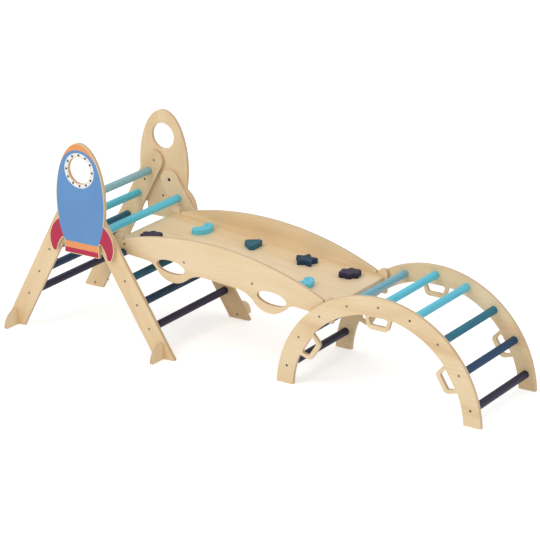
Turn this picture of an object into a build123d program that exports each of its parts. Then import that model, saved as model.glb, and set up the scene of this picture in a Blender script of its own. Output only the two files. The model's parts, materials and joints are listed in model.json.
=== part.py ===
from build123d import *
from math import atan2, cos, degrees, radians, sin, sqrt, tan
import os

# Climbing set for small children: a folding A-frame with rocket-shaped side panels, a bridge ramp with
# climbing holds that hooks over its rungs, and an arch of rungs that carries the ramp's other end.
# X runs along the set from the A-frame to the arch, Y across it, Z up from the floor.
# Each piece of a pair is modelled on the right, at -Y, and mirrored to the left.

# Stock sizes
ply = 16
rung_radius = 16
screw_radius = 4
screw_play = 0.1
screw_bite = 30

# A-frame, measured from the axis of the hinge bolts
frame_clear_width = 520
turning_gap = 0.5
leg_width = 86
leg_corner = 4
pivot_height = 547
rear_lean = 28.6
front_lean = 32.3
rear_top_behind_pivot = 76
rear_top_above_pivot = 72
rung_count = 5
rear_first_rung = 55
rear_rung_pitch = 120
front_first_rung = 85
front_rung_pitch = 107
panel_screw_spacing = 102
bolt_radius = 4
bolt_head_radius = 6.5
bolt_head_height = 4
bolt_running_fit = 0.05
lock_insert_distance = 92
lock_insert_radius = 5
lock_insert_bore = 3
lock_insert_depth = 10
panel_bite = 12

# Rocket panel, measured from the centre of its oval body
rocket_behind_pivot = 39
rocket_height = 598
rocket_half_width = 120
rocket_half_height = 240
porthole_radius = 55
porthole_rise = 128
fin_root_drop = 86
fin_reach = 160
fin_reach_drop = 166
fin_tip_reach = 136
fin_tip_half_width = 13
fin_drop = 230
tail_half_width = 86
tail_drop = 226
notch_top = 166

# Stabiliser feet
foot_length = 76
foot_height = 70
foot_screw_height = 18
foot_corner = 5

# Arch climber
arch_distance = 1299
arch_clear_width = 418
arch_outer_radius = 453
arch_inner_radius = 379
arch_rung_circle = 416
arch_centre_drop = 22
arch_rung_count = 9
arch_first_angle = 13.4
arch_rung_pitch = 19.33
grip_root_half = 60
grip_tip_half = 44
grip_reach = 56
grip_corner = 22
grip_hole_root_half = 45
grip_hole_tip_half = 32
grip_hole_start = 5
grip_hole_end = 38
grip_hole_corner = 9

# Bridge ramp: lengths from halfway between the two rungs that it hooks over, heights from their centres
ramp_width = 410
hook_gap = 0.5
lip_drop = 24
lower_edge = 2
end_overhang = 49
finger_width = 42
finger_height = 77
crown_height = 143
crown_shift = 34
shoulder_height = 60
shoulder_inset = 7
finger_notch_depth = 52
board_bottom = 30
board_overhang = 38
near_screw_insets = (4, 295)
far_screw_insets = (4, 325)
handle_distance = 229
handle_height = 35
handle_radius = 98
handle_outer_blend = 66
handle_inner_blend = 120
hand_hole_distance = 240
hand_hole_half_length = 68
hand_hole_half_height = 27

# Climbing holds
hold_height = 22
hold_edge = 2.5
hold_screw_radius = 3
hold_row = 104
hold_screw_half_spacing = 18
left_row_places = (-294, -55, 198, 402)
right_row_places = (-409, -161, 83, 326)
bean_width = 42
triangle_corner = 15
star_points = 5
star_reach = 56
star_waist = 27
star_corner = 7
petal_radius = 16
flower_turn = 56

# Positions that follow from the sizes above
frame_half = frame_clear_width / 2
turning_half = frame_half - turning_gap
panel_inside = frame_half + ply
rear_floor_reach = rear_top_behind_pivot + (pivot_height + rear_top_above_pivot) * tan(radians(rear_lean))
rear_corner_cut = leg_corner / tan(radians((90 - rear_lean) / 2)) - leg_corner
rear_reach = rear_floor_reach + leg_width / 2 / cos(radians(rear_lean)) - rear_corner_cut
arch_half_span = sqrt(arch_outer_radius**2 - arch_centre_drop**2)
pivot_x = (rear_reach - arch_distance - arch_half_span) / 2
arch_x = pivot_x + arch_distance
rocket_x = pivot_x - rocket_behind_pivot

# Points in the upright plane are written with their height as Y
hinge = Vector(pivot_x, pivot_height)
rear_top = hinge + Vector(-rear_top_behind_pivot, rear_top_above_pivot)
rear_down = Vector(-sin(radians(rear_lean)), -cos(radians(rear_lean)))
front_down = Vector(sin(radians(front_lean)), -cos(radians(front_lean)))
rear_rungs = [rear_top + rear_down * (rear_first_rung + n * rear_rung_pitch) for n in range(rung_count)]
front_rungs = [hinge + front_down * (front_first_rung + n * front_rung_pitch) for n in range(rung_count)]
panel_screw_places = [rear_top, rear_top + rear_down * panel_screw_spacing]
lock_insert_place = hinge + rear_down * lock_insert_distance
rear_foot_place = rear_top + rear_down * ((rear_top.Y - foot_screw_height) / -rear_down.Y)
front_foot_place = hinge + front_down * ((hinge.Y - foot_screw_height) / -front_down.Y)
arch_centre = Vector(arch_x, -arch_centre_drop)
arch_rungs = [
    arch_centre + Vector(-arch_rung_circle, 0).rotate(Axis.Z, -arch_first_angle - n * arch_rung_pitch)
    for n in range(arch_rung_count)
]
near_hook = front_rungs[1]
far_hook = arch_rungs[2]
hook_half = (far_hook - near_hook).length / 2
ramp_centre = (near_hook + far_hook) / 2
ramp_along = (far_hook - near_hook).normalized()
ramp_up = Vector(-ramp_along.Y, ramp_along.X)

os.makedirs("parts", exist_ok=True)


def save(builder, name):
    builder.part.label = name
    export_step(builder.part, f"parts/{name}.step")


def save_mirrored(builder, name):
    with BuildPart() as left:
        mirror(builder.part, about=Plane.XZ)
    save(left, name)


def side_plane(y, origin=Vector(0, 0)):
    """An upright plane that looks to the right, with X across and height up."""
    return Plane((origin.X, -y, origin.Y), x_dir=(1, 0, 0), z_dir=(0, -1, 0))


def outward(points, y):
    """Places on the outer face of a right-hand board."""
    return [side_plane(y, point).location for point in points]


def inward(points, y):
    """Places on the inner face of a right-hand board."""
    return [(-side_plane(y, point)).location for point in points]


def both_ends(points, y):
    """Places on the two end faces of a piece that spans the set from -y to y."""
    return outward(points, y) + inward(points, -y)


def ramp_point(along, up):
    return ramp_centre + ramp_along * along + ramp_up * up


def pin(radius, length):
    """A six-sided pin that points down from the origin, for a screw or for the socket around it."""
    with BuildPart() as body:
        with BuildSketch():
            RegularPolygon(radius, 6)
        extrude(amount=-length)
    return body.part


def save_screws(name, places, length=ply + screw_bite):
    """One node of screws: those on the right, and their mirror images on the left."""
    with BuildPart() as group:
        with Locations(*places):
            add(pin(screw_radius, length))
        mirror(about=Plane.XZ)
    save(group, name)


def screw_sockets(places, depth=ply):
    with Locations(*places):
        add(pin(screw_radius + screw_play, depth), mode=Mode.SUBTRACT)


def rung(name, centre, half_length):
    """A round rung with a socket in each end for its screw."""
    with BuildPart() as body:
        with BuildSketch(side_plane(half_length, centre)):
            Circle(rung_radius)
        extrude(amount=-2 * half_length)
        screw_sockets(both_ends([centre], half_length), screw_bite)
    save(body, name)


def foot(name, place, wall):
    """A quarter-round plate that stands out from the outer face of a leg."""
    with BuildPart() as body:
        with BuildSketch(Plane.YZ.offset(place.X - ply / 2)) as outline:
            with BuildLine():
                Polyline((-wall, foot_height), (-wall, 0), (-wall - foot_length, 0))
                EllipticalCenterArc((-wall, 0), foot_length, foot_height, start_angle=90, arc_size=90)
            make_face()
            fillet(outline.vertices().sort_by(Axis.X)[0], foot_corner)
        extrude(amount=ply)
        screw_sockets(inward([place], wall), screw_bite)
    save(body, f"{name}_right")
    save_mirrored(body, f"{name}_left")


def leg_edges(top, down):
    """The outline of a straight leg with a round top and a foot cut level with the floor."""
    across = Vector(-down.Y, down.X) * (leg_width / 2)
    high = [top + across, top - across]
    low = [point + down * (point.Y / -down.Y) for point in high]
    ThreePointArc(high[0], top - down * (leg_width / 2), high[1])
    Polyline(high[1], low[1], low[0], high[0])


# Rear frame of the A-frame
with BuildPart() as rear_leg_right:
    with BuildSketch(side_plane(panel_inside)) as outline:
        with BuildLine():
            leg_edges(rear_top, rear_down)
        make_face()
        fillet(outline.vertices().group_by(Axis.Y)[0], leg_corner)
    extrude(amount=-ply)
    screw_sockets(outward(rear_rungs, panel_inside))
    screw_sockets(inward(panel_screw_places + [rear_foot_place], frame_half))
save(rear_leg_right, "rear_leg_right")
save_mirrored(rear_leg_right, "rear_leg_left")

for number, centre in enumerate(rear_rungs, start=1):
    rung(f"rear_rung_{number}", centre, frame_half)

save_screws("rear_rung_screws", outward(rear_rungs, panel_inside))
foot("rear_foot", rear_foot_place, panel_inside)
save_screws("rear_foot_screws", inward([rear_foot_place], frame_half))

# Front frame of the A-frame, which turns inside the rocket panels
with BuildPart() as front_leg_right:
    with BuildSketch(side_plane(turning_half + ply)) as outline:
        with BuildLine():
            leg_edges(hinge, front_down)
        make_face()
        fillet(outline.vertices().group_by(Axis.Y)[0], leg_corner)
    extrude(amount=-ply)
    screw_sockets(outward(front_rungs, turning_half + ply))
    screw_sockets(inward([front_foot_place], turning_half))
    with Locations(*inward([hinge], turning_half)):
        CounterBoreHole(
            bolt_radius + bolt_running_fit,
            bolt_head_radius + turning_gap,
            bolt_head_height + turning_gap,
            ply,
        )
save(front_leg_right, "front_leg_right")
save_mirrored(front_leg_right, "front_leg_left")

for number, centre in enumerate(front_rungs, start=1):
    rung(f"front_rung_{number}", centre, turning_half)

save_screws("front_rung_screws", outward(front_rungs, turning_half + ply))
foot("front_foot", front_foot_place, turning_half + ply)
save_screws("front_foot_screws", inward([front_foot_place], turning_half))

# Rocket panel: an oval body with a porthole, a square tail and a fin on each side
fin_root = Vector(rocket_half_width * sqrt(1 - (fin_root_drop / rocket_half_height) ** 2), -fin_root_drop)
fin_root_angle = degrees(atan2(-fin_root_drop / rocket_half_height, fin_root.X / rocket_half_width))
fin_tip = Vector(fin_tip_reach, -fin_drop)
fin_tip_sides = [fin_tip + Vector(side * fin_tip_half_width, 8) for side in (1, -1)]
notch_start = Vector(tail_half_width, -notch_top - 8)
notch_corner = Vector(tail_half_width + 8, -notch_top)

with BuildPart() as rocket_panel_right:
    with BuildSketch(side_plane(panel_inside + ply, Vector(rocket_x, rocket_height))):
        with BuildLine():
            EllipticalCenterArc(
                (0, 0),
                rocket_half_width,
                rocket_half_height,
                start_angle=fin_root_angle,
                arc_size=90 - fin_root_angle,
            )
            ThreePointArc(fin_root, (fin_reach, -fin_reach_drop), fin_tip_sides[0])
            ThreePointArc(fin_tip_sides[0], fin_tip, fin_tip_sides[1])
            ThreePointArc(fin_tip_sides[1], ((fin_tip_sides[1].X + notch_corner.X) / 2 + 4, -notch_top - 24),
                          notch_corner)
            TangentArc(notch_corner, notch_start, tangent=(-1, 0))
            Polyline(notch_start, (tail_half_width, -tail_drop), (0, -tail_drop))
            mirror(about=Plane.YZ)
        make_face()
        with Locations((0, porthole_rise)):
            Circle(porthole_radius, mode=Mode.SUBTRACT)
    extrude(amount=-ply)
    screw_sockets(inward(panel_screw_places, panel_inside), panel_bite)
    with Locations(*inward([hinge], panel_inside)):
        Hole(bolt_radius + screw_play, panel_bite)
    with Locations(*inward([lock_insert_place], panel_inside)):
        Hole(lock_insert_radius + screw_play, lock_insert_depth)
save(rocket_panel_right, "rocket_panel_right")
save_mirrored(rocket_panel_right, "rocket_panel_left")

save_screws("panel_screws", inward(panel_screw_places, frame_half), ply + panel_bite)

with BuildPart() as hinge_bolts:
    with BuildSketch(-side_plane(turning_half, hinge)):
        Circle(bolt_head_radius)
    extrude(amount=-bolt_head_height)
    with BuildSketch(-side_plane(turning_half, hinge)):
        Circle(bolt_radius)
    extrude(amount=turning_half - panel_inside - panel_bite)
    mirror(about=Plane.XZ)
save(hinge_bolts, "hinge_bolts")

with BuildPart() as lock_inserts:
    with BuildSketch(-side_plane(panel_inside, lock_insert_place)):
        Circle(lock_insert_radius)
        Circle(lock_insert_bore, mode=Mode.SUBTRACT)
    extrude(amount=-lock_insert_depth)
    mirror(about=Plane.XZ)
save(lock_inserts, "lock_inserts")

# Arch climber: two curved boards with grip loops on their inner edges, and nine rungs
arch_inside = arch_clear_width / 2
arch_outside = arch_inside + ply


def grip_outline(root, tip, root_half, tip_half):
    """A tapered loop that points to the arch's centre, measured inwards from the inner edge."""
    Polyline((-root, -root_half), (-tip, -tip_half), (-tip, tip_half), (-root, root_half), close=True)


with BuildSketch() as grip:
    with BuildLine():
        grip_outline(-4, grip_reach, grip_root_half, grip_tip_half)
    make_face()
    fillet(grip.vertices().group_by(Axis.X)[0], grip_corner)

with BuildSketch() as grip_hole:
    with BuildLine():
        grip_outline(grip_hole_start, grip_hole_end, grip_hole_root_half, grip_hole_tip_half)
    make_face()
    fillet(grip_hole.vertices(), grip_hole_corner)

grips_from = 180 - arch_first_angle - 7 * arch_rung_pitch
grips_span = 6 * arch_rung_pitch

with BuildPart() as arch_side_right:
    with BuildSketch(side_plane(arch_outside, arch_centre)):
        Circle(arch_outer_radius)
        Circle(arch_inner_radius, mode=Mode.SUBTRACT)
        with PolarLocations(arch_inner_radius, 3, grips_from, grips_span, endpoint=True):
            add(grip.sketch)
            add(grip_hole.sketch, mode=Mode.SUBTRACT)
        with Locations((0, arch_centre_drop)):
            Rectangle(
                2 * arch_outer_radius,
                2 * arch_outer_radius,
                align=(Align.CENTER, Align.MAX),
                mode=Mode.SUBTRACT,
            )
    extrude(amount=-ply)
    screw_sockets(outward(arch_rungs, arch_outside))
save(arch_side_right, "arch_side_right")
save_mirrored(arch_side_right, "arch_side_left")

for number, centre in enumerate(arch_rungs, start=1):
    rung(f"arch_rung_{number}", centre, arch_inside)

save_screws("arch_rung_screws", outward(arch_rungs, arch_outside))

# Bridge ramp: side boards with hooks, fingers and hand loops
ramp_outside = ramp_width / 2
ramp_inside = ramp_outside - ply
end_reach = hook_half + end_overhang
finger_inner = end_reach - finger_width
notch_radius = rung_radius + hook_gap
ramp_screw_places = [
    ramp_point(side * (hook_half - inset), board_bottom + ply / 2)
    for side, insets in ((-1, near_screw_insets), (1, far_screw_insets))
    for inset in insets
]


def end_edges(side):
    """The lip, the hook, and the finger at one end of a side board."""
    outer, inner = side * end_reach, side * finger_inner
    finger_middle, finger_shoulder = (outer + inner) / 2, finger_height - finger_width / 2
    hook, shoulder = side * hook_half, side * (finger_inner - shoulder_inset)
    Polyline((hook + side * notch_radius, 0), (hook + side * notch_radius, -lip_drop), (outer, -lip_drop),
             (outer, finger_shoulder))
    ThreePointArc((outer, finger_shoulder), (finger_middle, finger_height), (inner, finger_shoulder))
    ThreePointArc((inner, finger_shoulder), ((inner + shoulder) / 2, finger_notch_depth), (shoulder, shoulder_height))
    ThreePointArc((hook + side * notch_radius, 0), (hook, notch_radius), (hook - side * notch_radius, 0))
    Line((hook - side * notch_radius, 0), (hook - side * notch_radius, -lower_edge))


def handle_edges(side):
    """The hand loop under one half of a side board, blended into the straight lower edge."""
    centre = Vector(side * handle_distance, handle_height)
    joins = []
    for outward_sign, blend in ((1, handle_outer_blend), (-1, handle_inner_blend)):
        drop = handle_height + lower_edge + blend
        spread = sqrt((handle_radius + blend) ** 2 - drop**2)
        blend_centre = centre + Vector(side * outward_sign * spread, -drop)
        on_edge = Vector(blend_centre.X, -lower_edge)
        on_loop = centre + (blend_centre - centre).normalized() * handle_radius
        TangentArc(on_edge, on_loop, tangent=(-side * outward_sign, 0))
        joins.append((on_edge, on_loop))
    ThreePointArc(joins[0][1], centre - Vector(0, handle_radius), joins[1][1])
    Line((side * (hook_half - notch_radius), -lower_edge), joins[0][0])
    return joins[1][0]


with BuildPart() as ramp_side_right:
    with BuildSketch(Plane((ramp_centre.X, -ramp_outside, ramp_centre.Y),
                           x_dir=(ramp_along.X, 0, ramp_along.Y), z_dir=(0, -1, 0))) as outline:
        with BuildLine():
            inner_joins = [handle_edges(side) for side in (-1, 1)]
            Line(*inner_joins)
            for side in (-1, 1):
                end_edges(side)
            ThreePointArc(
                (-(finger_inner - shoulder_inset), shoulder_height),
                (-crown_shift, crown_height),
                (finger_inner - shoulder_inset, shoulder_height),
            )
        make_face()
        with Locations((-hand_hole_distance, 0), (hand_hole_distance, 0)):
            Ellipse(hand_hole_half_length, hand_hole_half_height, mode=Mode.SUBTRACT)
    extrude(amount=-ply)
    screw_sockets(outward(ramp_screw_places, ramp_outside))
save(ramp_side_right, "ramp_side_right")
save_mirrored(ramp_side_right, "ramp_side_left")


def ramp_plane(height):
    """A plane along the ramp that looks up from it, with X along the ramp and Y to the left."""
    origin = ramp_point(0, height)
    return Plane(
        (origin.X, 0, origin.Y),
        x_dir=(ramp_along.X, 0, ramp_along.Y),
        z_dir=(ramp_up.X, 0, ramp_up.Y),
    )


board_top = board_bottom + ply
left_row = [(place, hold_row) for place in left_row_places]
right_row = [(place, -hold_row) for place in right_row_places]
hold_screw_places = [
    (along, across + side * hold_screw_half_spacing)
    for along, across in left_row + right_row
    for side in (-1, 1)
]

with BuildPart() as ramp_board:
    with BuildSketch(ramp_plane(board_bottom)):
        Rectangle(2 * (hook_half + board_overhang), 2 * ramp_inside)
        with Locations(*hold_screw_places):
            RegularPolygon(hold_screw_radius + screw_play, 6, mode=Mode.SUBTRACT)
    extrude(amount=ply)
    screw_sockets(both_ends(ramp_screw_places, ramp_inside), screw_bite)
save(ramp_board, "ramp_board")

save_screws("ramp_screws", outward(ramp_screw_places, ramp_outside))

# Climbing holds: four shapes, in one order along the left row and in the other along the right row
with BuildSketch() as bean:
    SlotArc(ThreePointArc((-4, 34), (5, -4), (-12, -36)), bean_width)

with BuildSketch() as triangle:
    with BuildLine():
        Polyline((-44, -6), (22, 62), (26, -58), close=True)
    make_face()
    fillet(triangle.vertices(), triangle_corner)

with BuildSketch() as star:
    with BuildLine():
        tips = [Vector(-star_reach, 0).rotate(Axis.Z, n * 360 / star_points) for n in range(star_points)]
        waists = [Vector(star_waist, 0).rotate(Axis.Z, (n + 3) * 360 / star_points) for n in range(star_points)]
        Polyline(*[corner for points in zip(tips, waists) for corner in points], close=True)
    make_face()
    fillet(star.vertices(), star_corner)

with BuildSketch() as flower:
    Ellipse(32, 20)
    with Locations((-32, 0), (32, 0)):
        Circle(petal_radius)
    with GridLocations(30, 34, 2, 2):
        Circle(petal_radius)
    fillet(flower.vertices(), 5)


def hold(name, outline, place, turn):
    """A climbing hold with its top edge broken and two screw holes."""
    with BuildPart() as body:
        with BuildSketch(ramp_plane(board_top)):
            with Locations(place):
                add(outline.sketch, rotation=turn)
        extrude(amount=hold_height)
        chamfer(body.faces().sort_by(Axis((0, 0, 0), ramp_plane(0).z_dir))[-1].edges(), hold_edge)
        with BuildSketch(ramp_plane(board_top)):
            with Locations(place):
                with Locations((0, -hold_screw_half_spacing), (0, hold_screw_half_spacing)):
                    RegularPolygon(hold_screw_radius + screw_play, 6)
        extrude(amount=hold_height, mode=Mode.SUBTRACT)
    save(body, name)


hold_shapes = [("bean", bean, 0), ("triangle", triangle, 0), ("star", star, 0), ("flower", flower, flower_turn)]
for (shape, outline, turn), left_place, right_place in zip(hold_shapes, left_row, reversed(right_row)):
    hold(f"{shape}_hold_left", outline, left_place, turn)
    hold(f"{shape}_hold_right", outline, right_place, turn)

with BuildPart() as hold_screws:
    with BuildSketch(ramp_plane(board_bottom)):
        with Locations(*hold_screw_places):
            RegularPolygon(hold_screw_radius, 6)
    extrude(amount=ply + hold_height)
save(hold_screws, "hold_screws")
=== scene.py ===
import bpy
import bmesh
import json
from math import cos, hypot, pi, radians, sin
from mathutils import Matrix, Vector


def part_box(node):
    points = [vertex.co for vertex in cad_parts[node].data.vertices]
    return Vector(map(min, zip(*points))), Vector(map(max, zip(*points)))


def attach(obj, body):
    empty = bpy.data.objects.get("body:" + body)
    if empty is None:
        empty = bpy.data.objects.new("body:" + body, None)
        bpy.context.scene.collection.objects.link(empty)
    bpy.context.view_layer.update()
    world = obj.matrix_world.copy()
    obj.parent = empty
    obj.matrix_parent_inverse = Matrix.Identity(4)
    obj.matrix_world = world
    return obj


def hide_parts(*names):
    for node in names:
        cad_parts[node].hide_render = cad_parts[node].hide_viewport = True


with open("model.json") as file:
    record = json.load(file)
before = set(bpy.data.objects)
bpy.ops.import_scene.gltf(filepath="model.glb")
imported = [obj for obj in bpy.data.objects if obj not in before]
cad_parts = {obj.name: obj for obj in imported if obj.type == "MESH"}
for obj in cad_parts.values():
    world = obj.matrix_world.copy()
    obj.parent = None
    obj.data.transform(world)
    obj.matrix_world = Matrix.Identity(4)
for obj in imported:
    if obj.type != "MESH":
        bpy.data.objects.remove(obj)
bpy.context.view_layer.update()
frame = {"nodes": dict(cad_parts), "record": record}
nodes = frame["nodes"]
record = frame["record"]
bodyOf = {node: body for body, members in record["behaviour"]["bodies"].items() for node in members}
joints = {joint["name"]: joint for joint in record["behaviour"]["joints"]}
scene = bpy.context.scene
scene.view_settings.view_transform = "Standard"


def tone(red, green, blue):  # a screen colour from 0 to 255, made linear for a shader
    return tuple(((c / 255 + 0.055) / 1.055) ** 2.4 if c > 10 else c / 3294.6 for c in (red, green, blue)) + (1.0,)


def boxOf(node):
    low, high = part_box(node)
    return Vector(low), Vector(high)


def middleOf(node):
    low, high = boxOf(node)
    return (low + high) / 2


# Directions in the upright plane that the boards follow
hook = Vector(joints["ramp_tilt"]["pos_m"])
rearDown = (middleOf("rear_rung_5") - middleOf("rear_rung_1")).normalized()
frontDown = (middleOf("front_rung_5") - middleOf("front_rung_1")).normalized()
rampAlong = (middleOf("arch_rung_3") - middleOf("front_rung_2")).normalized()
rampUp = Vector((-rampAlong.z, 0, rampAlong.x))
acrossSet = Vector((0, 1, 0))
upright = Vector((0, 0, 1))


# Shader nodes, wired by name
def newMaterial(name):
    material = bpy.data.materials.new(name)
    material.use_nodes = True
    tree = material.node_tree
    return material, tree, tree.nodes["Principled BSDF"]


def place(tree, kind, inputs=None, **settings):
    node = tree.nodes.new(kind)
    for key, value in settings.items():
        setattr(node, key, value)
    for key, value in (inputs or {}).items():
        if isinstance(value, bpy.types.NodeSocket):
            tree.links.new(value, node.inputs[key])
        else:
            node.inputs[key].default_value = value
    return node


def ramp(tree, source, stops):
    node = place(tree, "ShaderNodeValToRGB", {"Fac": source})
    bar = node.color_ramp.elements
    while len(bar) < len(stops):
        bar.new(0.5)
    for element, (position, colour) in zip(bar, stops):
        element.position = position
        element.color = colour
    return node.outputs["Color"]


def along(tree, point, direction):  # how far a point lies along a direction
    node = place(tree, "ShaderNodeVectorMath", {0: point, 1: tuple(direction)}, operation="DOT_PRODUCT")
    return node.outputs["Value"]


def math(tree, operation, first, second=0.0):
    return place(tree, "ShaderNodeMath", {0: first, 1: second}, operation=operation).outputs[0]


def blendColours(tree, factor, first, second, kind="MIX"):
    node = tree.nodes.new("ShaderNodeMix")
    node.data_type = "RGBA"
    node.blend_type = kind
    for socket, value in ((node.inputs[0], factor), (node.inputs[6], first), (node.inputs[7], second)):
        if isinstance(value, bpy.types.NodeSocket):
            tree.links.new(value, socket)
        else:
            socket.default_value = value
    return node.outputs[2]


def grainVector(tree, point, grain, side, normal, scales):
    parts = [math(tree, "MULTIPLY", along(tree, point, axis), scale)
             for axis, scale in zip((grain, side, normal), scales)]
    return place(tree, "ShaderNodeCombineXYZ", dict(zip("XYZ", parts))).outputs[0]


birch = {
    "light": tone(237, 215, 183),
    "middle": tone(230, 205, 168),
    "dark": tone(219, 189, 150),
    "flame": tone(224, 196, 157),
    "plyLight": tone(219, 190, 156),
    "plyDark": tone(186, 151, 120),
    "fibreDark": tone(212, 180, 134),
    "fleck": tone(184, 146, 102),
    "plyStreak": tone(150, 118, 88),
    "plies": 11,
    "outerVeneers": 0.9,
    "thickness": 0.016,
}


def birchPlywood(name, grain, normal, innerFace, mirrored=True):
    # grain runs along the board; the plies show where the point lies between its two faces
    material, tree, shader = newMaterial(name)
    side = grain.cross(normal)
    point = place(tree, "ShaderNodeTexCoord").outputs["Object"]
    figure = place(tree, "ShaderNodeTexNoise",
                   {"Vector": grainVector(tree, point, grain, side, normal, (1.5, 9, 9)),
                    "Scale": 1.0, "Detail": 3.0, "Roughness": 0.5, "Distortion": 0.6}).outputs["Fac"]
    flames = place(tree, "ShaderNodeTexWave",
                   {"Vector": grainVector(tree, point, grain, side, normal, (0.9, 5.5, 5.5)),
                    "Scale": 3.2, "Distortion": 5.0, "Detail": 2.0, "Detail Scale": 0.8, "Detail Roughness": 0.5},
                   wave_type="BANDS", bands_direction="Y", wave_profile="SAW").outputs["Fac"]
    fibres = place(tree, "ShaderNodeTexNoise",
                   {"Vector": grainVector(tree, point, grain, side, normal, (12, 420, 420)),
                    "Scale": 1.0, "Detail": 3.0, "Roughness": 0.6}).outputs["Fac"]
    flecks = place(tree, "ShaderNodeTexNoise",
                   {"Vector": grainVector(tree, point, grain, side, normal, (55, 700, 700)),
                    "Scale": 1.0, "Detail": 1.0}).outputs["Fac"]
    face = ramp(tree, figure, [(0.32, birch["dark"]), (0.47, birch["middle"]), (0.66, birch["light"])])
    face = blendColours(tree, ramp(tree, flames, [(0.55, (0, 0, 0, 1)), (0.97, (0.28, 0.28, 0.28, 1))]),
                        face, birch["flame"])
    face = blendColours(tree, 0.3, face, ramp(tree, fibres, [(0.3, birch["fibreDark"]), (0.6, birch["light"])]),
                        "SOFT_LIGHT")
    face = blendColours(tree, ramp(tree, flecks, [(0.7, (0, 0, 0, 1)), (0.78, (0.3, 0.3, 0.3, 1))]),
                        face, birch["fleck"])
    # the plies, counted from the board's inner face
    depthPoint = point
    if mirrored:
        depthPoint = place(tree, "ShaderNodeVectorMath", {0: point}, operation="ABSOLUTE").outputs[0]
    depth = math(tree, "SUBTRACT", along(tree, depthPoint, normal), innerFace)
    layer = math(tree, "MULTIPLY", depth, birch["plies"] / birch["thickness"])
    odd = math(tree, "PINGPONG", layer, 1.0)
    stripes = ramp(tree, odd, [(0.42, birch["plyLight"]), (0.58, birch["plyDark"])])
    streaks = ramp(tree, fibres, [(0.3, birch["plyStreak"]), (0.65, birch["plyLight"])])
    stripes = blendColours(tree, 0.5, stripes, streaks)
    fromMiddle = math(tree, "ABSOLUTE", math(tree, "SUBTRACT", layer, birch["plies"] / 2))
    inside = math(tree, "LESS_THAN", fromMiddle, birch["plies"] / 2 - birch["outerVeneers"])
    colour = blendColours(tree, math(tree, "MULTIPLY", inside, 0.75), face, stripes)
    tree.links.new(colour, shader.inputs["Base Color"])
    rough = ramp(tree, figure, [(0.3, (0.48, 0.48, 0.48, 1)), (0.7, (0.38, 0.38, 0.38, 1))])
    tree.links.new(rough, shader.inputs["Roughness"])
    shader.inputs["Specular IOR Level"].default_value = 0.35
    bump = place(tree, "ShaderNodeBump", {"Height": fibres, "Strength": 0.12, "Distance": 0.0006})
    tree.links.new(bump.outputs[0], shader.inputs["Normal"])
    return material


stains = {  # colour, and how much of the birch shows through it
    # a blue-green stain with painted light greyed into it, for the top rear rung
    "greenBlueGreyedByPaintedLight": (tone(144, 188, 196), 0.10),
    # a greyed copy of the sky stain: painted light on arch rung 4, whose twin, rung 6, is sky
    "skyGreyedByPaintedLight": (tone(128, 184, 200), 0.10),
    "turquoise": (tone(98, 200, 220), 0.08),
    "sky": (tone(102, 206, 230), 0.06),
    "lagoon": (tone(32, 112, 136), 0.04),
    "teal": (tone(31, 99, 122), 0.04),
    "petrol": (tone(22, 74, 96), 0.04),
    "navy": (tone(24, 58, 86), 0.03),
    "denim": (tone(18, 62, 98), 0.02),
    "plum": (tone(43, 38, 63), 0.02),
}


def woodStain(name):
    colour, show = stains[name]
    material, tree, shader = newMaterial(name + "Stain")
    point = place(tree, "ShaderNodeTexCoord").outputs["Object"]
    axes = (acrossSet, Vector((1, 0, 0)), upright)
    streaks = place(tree, "ShaderNodeTexNoise", {"Vector": grainVector(tree, point, *axes, (5, 130, 130)),
                    "Scale": 1.0, "Detail": 4.0, "Roughness": 0.6}).outputs["Fac"]
    cloud = place(tree, "ShaderNodeTexNoise", {"Vector": grainVector(tree, point, *axes, (4, 9, 9)),
                  "Scale": 1.0, "Detail": 2.0}).outputs["Fac"]
    paler = tuple(c + (b - c) * show for c, b in zip(colour, birch["middle"]))
    deeper = tuple(c * 0.8 for c in colour[:3]) + (1.0,)
    stained = ramp(tree, streaks, [(0.32, deeper), (0.5, colour), (0.72, paler)])
    stained = blendColours(tree, 0.35, stained, ramp(tree, cloud, [(0.3, deeper), (0.7, colour)]))
    tree.links.new(stained, shader.inputs["Base Color"])
    shader.inputs["Roughness"].default_value = 0.5
    shader.inputs["Specular IOR Level"].default_value = 0.25
    bump = place(tree, "ShaderNodeBump", {"Height": streaks, "Strength": 0.15, "Distance": 0.0005})
    tree.links.new(bump.outputs[0], shader.inputs["Normal"])
    return material


def satinPaint(name, colour):
    material, tree, shader = newMaterial(name)
    point = place(tree, "ShaderNodeTexCoord").outputs["Object"]
    roller = place(tree, "ShaderNodeTexNoise", {"Vector": point, "Scale": 420.0, "Detail": 2.0}).outputs["Fac"]
    cloud = place(tree, "ShaderNodeTexNoise", {"Vector": point, "Scale": 7.0, "Detail": 2.0}).outputs["Fac"]
    deeper = tuple(c * 0.94 for c in colour[:3]) + (1.0,)
    tree.links.new(ramp(tree, cloud, [(0.35, deeper), (0.65, colour)]), shader.inputs["Base Color"])
    shader.inputs["Roughness"].default_value = 0.42
    shader.inputs["Specular IOR Level"].default_value = 0.3
    bump = place(tree, "ShaderNodeBump", {"Height": roller, "Strength": 0.1, "Distance": 0.0004})
    tree.links.new(bump.outputs[0], shader.inputs["Normal"])
    return material


def turnedMetal(name, colour, roughness):
    material, tree, shader = newMaterial(name)
    point = place(tree, "ShaderNodeTexCoord").outputs["Object"]
    scuffs = place(tree, "ShaderNodeTexNoise", {"Vector": point, "Scale": 900.0, "Detail": 3.0}).outputs["Fac"]
    paler = tuple(min(1.0, c * 1.5) for c in colour[:3]) + (1.0,)
    tree.links.new(ramp(tree, scuffs, [(0.35, colour), (0.75, paler)]), shader.inputs["Base Color"])
    shader.inputs["Metallic"].default_value = 0.9
    shader.inputs["Roughness"].default_value = roughness
    return material


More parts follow.
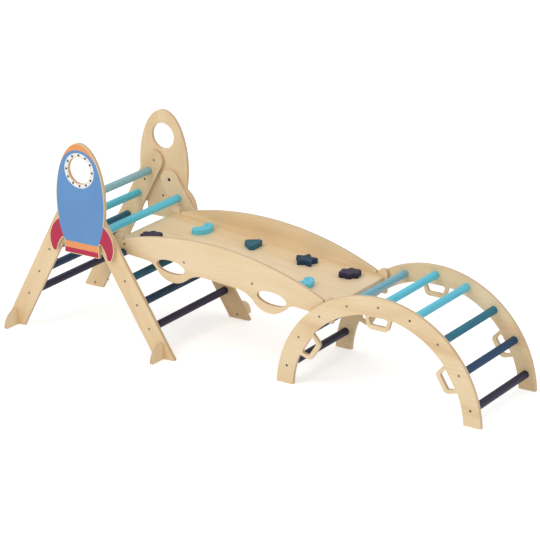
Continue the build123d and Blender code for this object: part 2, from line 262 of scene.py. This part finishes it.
innerFaces = {  # distance from the middle of the set to the inner face of each pair of boards
    "rearLeg": -boxOf("rear_leg_right")[1].y,
    "frontLeg": -boxOf("front_leg_right")[1].y,
    "panel": -boxOf("rocket_panel_right")[1].y,
    "arch": -boxOf("arch_side_right")[1].y,
    "rampSide": -boxOf("ramp_side_right")[1].y,
}
birchRearLeg = birchPlywood("birchRearLeg", rearDown, acrossSet, innerFaces["rearLeg"])
birchFrontLeg = birchPlywood("birchFrontLeg", frontDown, acrossSet, innerFaces["frontLeg"])
birchPanel = birchPlywood("birchPanel", upright, acrossSet, innerFaces["panel"])
birchArch = birchPlywood("birchArch", Vector((1, 0, 0)), acrossSet, innerFaces["arch"])
birchRampSide = birchPlywood("birchRampSide", rampAlong, acrossSet, innerFaces["rampSide"])
steel = turnedMetal("darkSteel", tone(62, 62, 72), 0.38)
brass = turnedMetal("brassInsert", tone(150, 120, 70), 0.3)
print("materials ready")


# Shapes: a copy of a solid is merged, its screw sockets are closed and its edges rounded
def finish(shape, name, materials, body, replaced, sharpAngle=radians(40)):
    bmesh.ops.recalc_face_normals(shape, faces=shape.faces)
    mesh = bpy.data.meshes.new(name)
    for face in shape.faces:
        face.smooth = True
    shape.to_mesh(mesh)
    shape.free()
    for material in materials:
        mesh.materials.append(material)
    mesh.set_sharp_from_angle(angle=sharpAngle)
    piece = bpy.data.objects.new(name, mesh)
    scene.collection.objects.link(piece)
    evenShade = piece.modifiers.new("evenShade", "WEIGHTED_NORMAL")  # flat faces stay flat beside round edges
    evenShade.keep_sharp = True
    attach(piece, body)
    if replaced:
        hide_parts(*replaced)
    return piece


def copyOfNode(node):
    shape = bmesh.new()
    shape.from_mesh(nodes[node].data)
    bmesh.ops.remove_doubles(shape, verts=shape.verts, dist=0.00002)
    bmesh.ops.dissolve_limit(shape, angle_limit=radians(0.4), verts=shape.verts, edges=shape.edges)
    return shape


def looseParts(shape):  # the vertices of each separate solid, in the order of the mesh
    left = set(shape.verts)
    parts = []
    for start in shape.verts:
        if start not in left:
            continue
        left.discard(start)
        part, waiting = [start], [start]
        while waiting:
            for link in waiting.pop().link_edges:
                for vert in link.verts:
                    if vert in left:
                        left.discard(vert)
                        part.append(vert)
                        waiting.append(vert)
        parts.append(part)
    return parts


def roundOver(shape, radius, segments, sharpest=radians(40)):
    rims = [edge for edge in shape.edges if edge.is_manifold and edge.calc_face_angle(0) > sharpest]
    bmesh.ops.bevel(shape, geom=rims, offset=radius, segments=segments, profile=0.5, affect="EDGES",
                    clamp_overlap=True, material=-1)


def withoutSockets(shape):
    # walls of the six-sided screw sockets go, and their rims are closed
    narrowest, widest = boards["socketSide"]
    walls = [face for face in shape.faces
             if len(face.verts) == 4 and narrowest < min(edge.calc_length() for edge in face.edges) < widest
             and socketWall(face)]
    if walls:
        bmesh.ops.delete(shape, geom=walls, context="FACES")
        bmesh.ops.delete(shape, geom=[v for v in shape.verts if not v.link_faces], context="VERTS")
        rims = [edge for edge in shape.edges if edge.is_boundary]
        bmesh.ops.holes_fill(shape, edges=rims, sides=6)
        bmesh.ops.dissolve_limit(shape, angle_limit=radians(0.4), verts=shape.verts, edges=shape.edges)


def socketWall(face):  # its neighbours across the short way lie 60 degrees round
    turns = [edge.calc_face_angle(0) for edge in face.edges if edge.is_manifold]
    return sum(abs(turn - pi / 3) < 0.02 for turn in turns) >= 2


boards = {"edgeRadius": 0.0025, "segments": 3, "socketSide": (0.0030, 0.0043), "rampBoardAboveHook": 0.030}


def softBoard(node, material):
    shape = copyOfNode(node)
    withoutSockets(shape)
    roundOver(shape, boards["edgeRadius"], boards["segments"])
    return finish(shape, node + "Board", [material], bodyOf[node], [node])


for side in ("right", "left"):
    softBoard("rear_leg_" + side, birchRearLeg)
    softBoard("front_leg_" + side, birchFrontLeg)
    softBoard("arch_side_" + side, birchArch)
    softBoard("ramp_side_" + side, birchRampSide)
print("legs, arch and ramp sides rounded over")

for end in ("rear", "front"):
    middle = middleOf(end + "_foot_right").x
    footBirch = birchPlywood("birchFoot" + end.title(), upright, Vector((1, 0, 0)),
                              middle - birch["thickness"] / 2, mirrored=False)
    for side in ("right", "left"):
        softBoard(end + "_foot_" + side, footBirch)
boardBirch = birchPlywood("birchRampBoard", rampAlong, rampUp,
                          rampUp.dot(hook) + boards["rampBoardAboveHook"], mirrored=False)
softBoard("ramp_board", boardBirch)
print("feet and ramp board rounded over")

rungs = {"segments": 48, "endRound": 0.0012}
rungFinish = {
    # the top rear rung's stain is greyed by painted light
    "rear": ("greenBlueGreyedByPaintedLight", "turquoise", "teal", "navy", "plum"),
    "front": ("sky", "petrol", "teal", "navy", "plum"),
    # arch rung 4 is greyed by painted light; its twin, rung 6, is sky
    "arch": ("plum", "navy", "teal", "skyGreyedByPaintedLight", "sky", "sky", "lagoon", "denim", "plum"),
}
stainOf = {name: woodStain(name) for name in stains}


def rung(node, finishName):
    low, high = boxOf(node)
    shape = bmesh.new()
    bmesh.ops.create_cone(shape, cap_ends=True, segments=rungs["segments"], radius1=(high.x - low.x) / 2,
                          radius2=(high.x - low.x) / 2, depth=high.y - low.y)
    bmesh.ops.rotate(shape, verts=shape.verts, matrix=Matrix.Rotation(pi / 2, 3, "X"))
    bmesh.ops.translate(shape, verts=shape.verts, vec=(low + high) / 2)
    roundOver(shape, rungs["endRound"], 2, radians(60))
    return finish(shape, node + "Dowel", [stainOf[finishName]], bodyOf[node], [node])


for row, finishes in rungFinish.items():
    for number, finishName in enumerate(finishes, start=1):
        rung(f"{row}_rung_{number}", finishName)
print("rungs turned")


# Rocket panels: paint on the outer face, inside a bare border
rocket = {
    "border": 0.004,
    "edgeRadius": 0.0015,
    "halfWidth": 0.120,
    "halfHeight": 0.240,
    "tailHalfWidth": 0.0865,
    "bandTop": -0.175,
    "bandBottom": -0.202,
    "noseFrom": 0.15,
    "noseRadius": 0.096,
    "noseCentre": 0.116,
    "porthole": 0.128,
    "ringRadius": 0.0725,
    "dots": 12,
    "dotCircle": 0.064,
    "dotRadius": 0.0047,
    "blue": tone(101, 148, 200),
    "orange": tone(238, 158, 98),
    "red": tone(186, 44, 76),
    "white": tone(240, 240, 240),
    "black": tone(20, 20, 26),
}
panelBox = boxOf("rocket_panel_right")
rocketMiddle = Vector(((panelBox[0].x + panelBox[1].x) / 2, 0, panelBox[1].z - rocket["halfHeight"]))
rocketPaints = [satinPaint("rocket" + name.title(), rocket[name]) for name in ("blue", "orange", "red", "white")]
dotPaint = satinPaint("rocketDots", rocket["black"])


def cutByPlane(shape, faces, point, normal):
    edges = list(dict.fromkeys(edge for face in faces for edge in face.edges))
    corners = list(dict.fromkeys(vert for face in faces for vert in face.verts))
    found = bmesh.ops.bisect_plane(shape, geom=faces + edges + corners, plane_co=point, plane_no=normal,
                                   dist=0.00001)
    return [item for item in found["geom"] if isinstance(item, bmesh.types.BMFace)]


def cutByOval(shape, faces, middle, halfWidth, halfHeight, start, stop, steps):
    turns = [radians(start + (stop - start) * n / steps) for n in range(steps + 1)]
    rim = [middle + Vector((halfWidth * cos(t), 0, halfHeight * sin(t))) for t in turns]
    for first, second in zip(rim, rim[1:]):
        run = second - first
        faces = cutByPlane(shape, faces, first, Vector((run.z, 0, -run.x)))
    return faces


def paintZone(spot):  # the material slot at a place on the panel, measured from the middle of its oval
    blue, orange, red, white = 1, 2, 3, 4
    if hypot(spot.x, spot.z - rocket["porthole"]) < rocket["ringRadius"]:
        return white
    if spot.z < rocket["bandTop"] and abs(spot.x) < rocket["tailHalfWidth"]:
        return orange if spot.z > rocket["bandBottom"] else red
    if hypot(spot.x / rocket["halfWidth"], spot.z / rocket["halfHeight"]) > 1:
        return red
    if spot.z > rocket["noseFrom"] and hypot(spot.x, spot.z - rocket["noseCentre"]) > rocket["noseRadius"]:
        return orange
    return blue


def rocketPanel(side):
    node = "rocket_panel_" + side
    shape = copyOfNode(node)
    withoutSockets(shape)
    roundOver(shape, rocket["edgeRadius"], 2)
    low, high = boxOf(node)
    outer = low.y if side == "right" else high.y
    faces = [face for face in shape.faces if abs(face.calc_center_median().y - outer) < 0.0001
             and abs(face.normal.y) > 0.9]
    rim = bmesh.ops.inset_region(shape, faces=faces, thickness=rocket["border"] - rocket["edgeRadius"],
                                 use_even_offset=True, use_boundary=True)["faces"]
    faces = [face for face in faces if face.is_valid and face not in rim]
    for height in (rocket["bandTop"], rocket["bandBottom"]):
        faces = cutByPlane(shape, faces, rocketMiddle + Vector((0, 0, height)), upright)
    for start, stop in ((-50, -20), (-160, -130)):
        faces = cutByOval(shape, faces, rocketMiddle, rocket["halfWidth"], rocket["halfHeight"], start, stop, 12)
    faces = cutByOval(shape, faces, rocketMiddle + Vector((0, 0, rocket["noseCentre"])), rocket["noseRadius"],
                      rocket["noseRadius"], 20, 160, 24)
    faces = cutByOval(shape, faces, rocketMiddle + Vector((0, 0, rocket["porthole"])), rocket["ringRadius"],
                      rocket["ringRadius"], 0, 360, 60)
    for face in faces:
        spot = face.calc_center_median() - rocketMiddle
        face.material_index = paintZone(spot)
    bmesh.ops.dissolve_limit(shape, angle_limit=radians(0.5), verts=[v for v in shape.verts if v.is_valid],
                             edges=[e for e in shape.edges if e.is_valid], delimit={"MATERIAL"})
    return finish(shape, node + "Painted", [birchPanel] + rocketPaints, bodyOf[node], [node])


def portholeDots(side):
    low, high = boxOf("rocket_panel_" + side)
    outer, outwards = (low.y, -1) if side == "right" else (high.y, 1)
    shape = bmesh.new()
    for n in range(rocket["dots"]):
        turn = 2 * pi * n / rocket["dots"]
        dot = bmesh.ops.create_circle(shape, cap_ends=True, segments=20, radius=rocket["dotRadius"])["verts"]
        bmesh.ops.rotate(shape, verts=dot, matrix=Matrix.Rotation(pi / 2, 3, "X"))
        bmesh.ops.translate(shape, verts=dot, vec=rocketMiddle + Vector((
            rocket["dotCircle"] * cos(turn), outer, rocket["porthole"] + rocket["dotCircle"] * sin(turn))))
    raised = bmesh.ops.extrude_face_region(shape, geom=shape.faces[:])["geom"]
    bmesh.ops.translate(shape, verts=[v for v in raised if isinstance(v, bmesh.types.BMVert)],
                        vec=(0, outwards * 0.0002, 0))
    return finish(shape, "portholeDots" + side.title(), [dotPaint], "rocket_frame", [])


for side in ("right", "left"):
    rocketPanel(side)
    portholeDots(side)
print("rocket panels painted")


# Climbing holds: the outline of each solid, drawn up again with a round top edge
holds = {"edgeRadius": 0.005, "segments": 5, "longestSocketSide": 0.0034}
holdFinish = {"bean": "sky", "triangle": "teal", "star": "navy", "flower": "plum"}


def hold(node, finishName):
    shape = copyOfNode(node)
    base = [face for face in shape.faces if face.normal.dot(rampUp) < -0.9]
    rim = [edge for face in base for edge in face.edges if sum(f in base for f in edge.link_faces) == 1]
    holes = [edge for edge in rim if edge.calc_length() < holds["longestSocketSide"]
             and any(socketWall(face) for face in edge.link_faces)]
    outline = [edge for edge in rim if edge not in holes]
    flat = bmesh.new()
    twins = {}
    for edge in outline:
        ends = []
        for vert in edge.verts:
            if vert not in twins:
                twins[vert] = flat.verts.new(vert.co)
            ends.append(twins[vert])
        flat.edges.new(ends)
    height = max(rampUp.dot(v.co) for v in shape.verts) - min(rampUp.dot(v.co) for v in shape.verts)
    shape.free()
    bmesh.ops.contextual_create(flat, geom=flat.edges[:])
    grown = bmesh.ops.extrude_face_region(flat, geom=flat.faces[:])["geom"]
    bmesh.ops.translate(flat, verts=[v for v in grown if isinstance(v, bmesh.types.BMVert)], vec=rampUp * height)
    bmesh.ops.recalc_face_normals(flat, faces=flat.faces)
    top = [face for face in flat.faces if face.normal.dot(rampUp) > 0.9]
    bmesh.ops.bevel(flat, geom=[edge for face in top for edge in face.edges], offset=holds["edgeRadius"],
                    segments=holds["segments"], profile=0.5, affect="EDGES", clamp_overlap=True, material=-1)
    return finish(flat, node + "Grip", [stainOf[finishName]], bodyOf[node], [node])


for kind, finishName in holdFinish.items():
    for side in ("left", "right"):
        hold(f"{kind}_hold_{side}", finishName)
print("holds rounded")


# Screws: a round head with a hexagon socket, over the pin of the CAD
screws = {"headRadius": 0.0049, "headRise": 0.0003, "headDepth": 0.003, "keyShare": 0.45, "keyDepth": 0.0018,
          "shankShare": 0.6, "segments": 24, "holdHeadRadius": 0.0033, "boltHeadRadius": 0.0065}


def screwHead(shape, tip, way, radius, length):
    # drawn round the Z axis, head up, then turned and put in place
    rise = screws["headRise"]
    rim = bmesh.ops.create_circle(shape, segments=screws["segments"], radius=radius * 0.9)["verts"]
    bmesh.ops.translate(shape, verts=rim, vec=(0, 0, rise))
    mouth = bmesh.ops.create_circle(shape, segments=6, radius=radius * screws["keyShare"])["verts"]
    bmesh.ops.translate(shape, verts=mouth, vec=(0, 0, rise))
    rimEdges = list(dict.fromkeys(e for v in rim for e in v.link_edges))
    mouthEdges = list(dict.fromkeys(e for v in mouth for e in v.link_edges))
    bmesh.ops.bridge_loops(shape, edges=rimEdges + mouthEdges)
    well = bmesh.ops.extrude_edge_only(shape, edges=mouthEdges)["geom"]
    wellVerts = [v for v in well if isinstance(v, bmesh.types.BMVert)]
    bmesh.ops.translate(shape, verts=wellVerts, vec=(0, 0, -screws["keyDepth"]))
    bmesh.ops.contextual_create(shape, geom=[e for e in well if isinstance(e, bmesh.types.BMEdge)])
    parts = rim + mouth + wellVerts
    edges = rimEdges
    depth = screws["headDepth"]
    for wider, drop in ((1 / 0.9, rise), (1, depth), (screws["shankShare"], 0), (1, length - depth)):
        ring = bmesh.ops.extrude_edge_only(shape, edges=edges)["geom"]
        ringVerts = [v for v in ring if isinstance(v, bmesh.types.BMVert)]
        edges = [e for e in ring if isinstance(e, bmesh.types.BMEdge)]
        bmesh.ops.scale(shape, verts=ringVerts, vec=(wider, wider, 1))
        bmesh.ops.translate(shape, verts=ringVerts, vec=(0, 0, -drop))
        parts += ringVerts
    bmesh.ops.contextual_create(shape, geom=edges)
    turn = upright.rotation_difference(way).to_matrix()
    bmesh.ops.rotate(shape, verts=parts, matrix=turn)
    bmesh.ops.translate(shape, verts=parts, vec=tip)


def screwGroup(node, fromInside=False, way=None, headRadius=None, sunk=0.0):
    pins = copyOfNode(node)
    shape = bmesh.new()
    for part in looseParts(pins):
        spots = [vert.co for vert in part]
        middle = sum(spots, Vector()) / len(spots)
        outwards = way or Vector((0, 1 if middle.y > 0 else -1, 0))
        heading = -outwards if fromInside else outwards
        reach = [heading.dot(spot - middle) for spot in spots]
        screwHead(shape, middle + heading * (max(reach) - sunk), heading, headRadius or screws["headRadius"],
                  (max(reach) - min(reach)) * 0.96)
    pins.free()
    return finish(shape, node + "Heads", [steel], bodyOf[node], [node], sharpAngle=radians(28))


for node in ("rear_rung_screws", "front_rung_screws", "arch_rung_screws", "ramp_screws"):
    screwGroup(node)
for node in ("rear_foot_screws", "front_foot_screws", "panel_screws"):
    screwGroup(node, fromInside=True)
screwGroup("hold_screws", way=rampUp, headRadius=screws["holdHeadRadius"])
screwGroup("hinge_bolts", fromInside=True, headRadius=screws["boltHeadRadius"], sunk=screws["headRise"])
for slot in nodes["lock_inserts"].material_slots:
    slot.material = brass
print("screws set")


# Stage, light and camera
stage = {"floor": 14.0, "floorDrop": 0.0004, "floorColour": (0.93, 0.93, 0.93, 1.0), "floorGlow": 0.44,
         "sky": 0.75, "keyPower": 66.0, "fillPower": 25.0, "aim": (0, 0, 0.3)}


def seenDirectly(tree):  # 1 for rays from the camera and their reflections, 0 for the light that fills shadows
    rays = place(tree, "ShaderNodeLightPath").outputs
    return math(tree, "MAXIMUM", math(tree, "MAXIMUM", rays["Is Camera Ray"], rays["Is Glossy Ray"]),
                rays["Is Transmission Ray"])


world = bpy.data.worlds.new("studio")
scene.world = world
world.use_nodes = True
tree = world.node_tree
strength = math(tree, "ADD", math(tree, "MULTIPLY", seenDirectly(tree), 1.0 - stage["sky"]), stage["sky"])
tree.nodes["Background"].inputs["Color"].default_value = (1, 1, 1, 1)
tree.links.new(strength, tree.nodes["Background"].inputs["Strength"])

floorMesh = bmesh.new()
bmesh.ops.create_grid(floorMesh, x_segments=1, y_segments=1, size=stage["floor"])
bmesh.ops.translate(floorMesh, verts=floorMesh.verts, vec=(0, 0, -stage["floorDrop"]))
mesh = bpy.data.meshes.new("floor")
floorMesh.to_mesh(mesh)
floorMesh.free()
floor = bpy.data.objects.new("floor", mesh)
scene.collection.objects.link(floor)
floorPaint, tree, shader = newMaterial("paleFloor")
shader.inputs["Base Color"].default_value = stage["floorColour"]
shader.inputs["Roughness"].default_value = 0.9
shader.inputs["Specular IOR Level"].default_value = 0.0
shader.inputs["Emission Color"].default_value = (1, 1, 1, 1)
glow = math(tree, "MULTIPLY", seenDirectly(tree), stage["floorGlow"])
tree.links.new(glow, shader.inputs["Emission Strength"])
mesh.materials.append(floorPaint)


def softLamp(name, spot, aim, size, power):
    data = bpy.data.lights.new(name, "AREA")
    data.energy = power
    data.size = size
    lamp = bpy.data.objects.new(name, data)
    lamp.location = spot
    lamp.rotation_euler = (Vector(aim) - Vector(spot)).to_track_quat("-Z", "Y").to_euler()
    scene.collection.objects.link(lamp)


softLamp("keyLamp", (-1.6, -3.4, 4.2), stage["aim"], 2.6, stage["keyPower"])
softLamp("fillLamp", (4.5, -3.0, 2.4), stage["aim"], 3.0, stage["fillPower"])

shot = {
    "spot": (5.21317, -7.83195, 3.71510),
    "yaw": -0.587942,
    "pitch": 0.351808,
    "roll": -0.009018,
    "focal": 2523.546 * 36 / 540,
    "shiftX": 6.645 / 540,
    "shiftY": 21.261 / 540,
}
gaze = Vector((sin(shot["yaw"]) * cos(shot["pitch"]), cos(shot["yaw"]) * cos(shot["pitch"]), -sin(shot["pitch"])))
level = Vector((cos(shot["yaw"]), -sin(shot["yaw"]), 0))
above = level.cross(gaze)
rightWay = level * cos(shot["roll"]) + above * sin(shot["roll"])
upWay = above * cos(shot["roll"]) - level * sin(shot["roll"])
camera = bpy.data.objects.new("camera", bpy.data.cameras.new("camera"))
camera.matrix_world = Matrix((rightWay, upWay, -gaze)).transposed().to_4x4()
camera.location = shot["spot"]
camera.data.sensor_width = 36
camera.data.lens = shot["focal"]
camera.data.shift_x = shot["shiftX"]
camera.data.shift_y = shot["shiftY"]
camera.data.clip_end = 100
scene.collection.objects.link(camera)
scene.camera = camera
print("stage set")
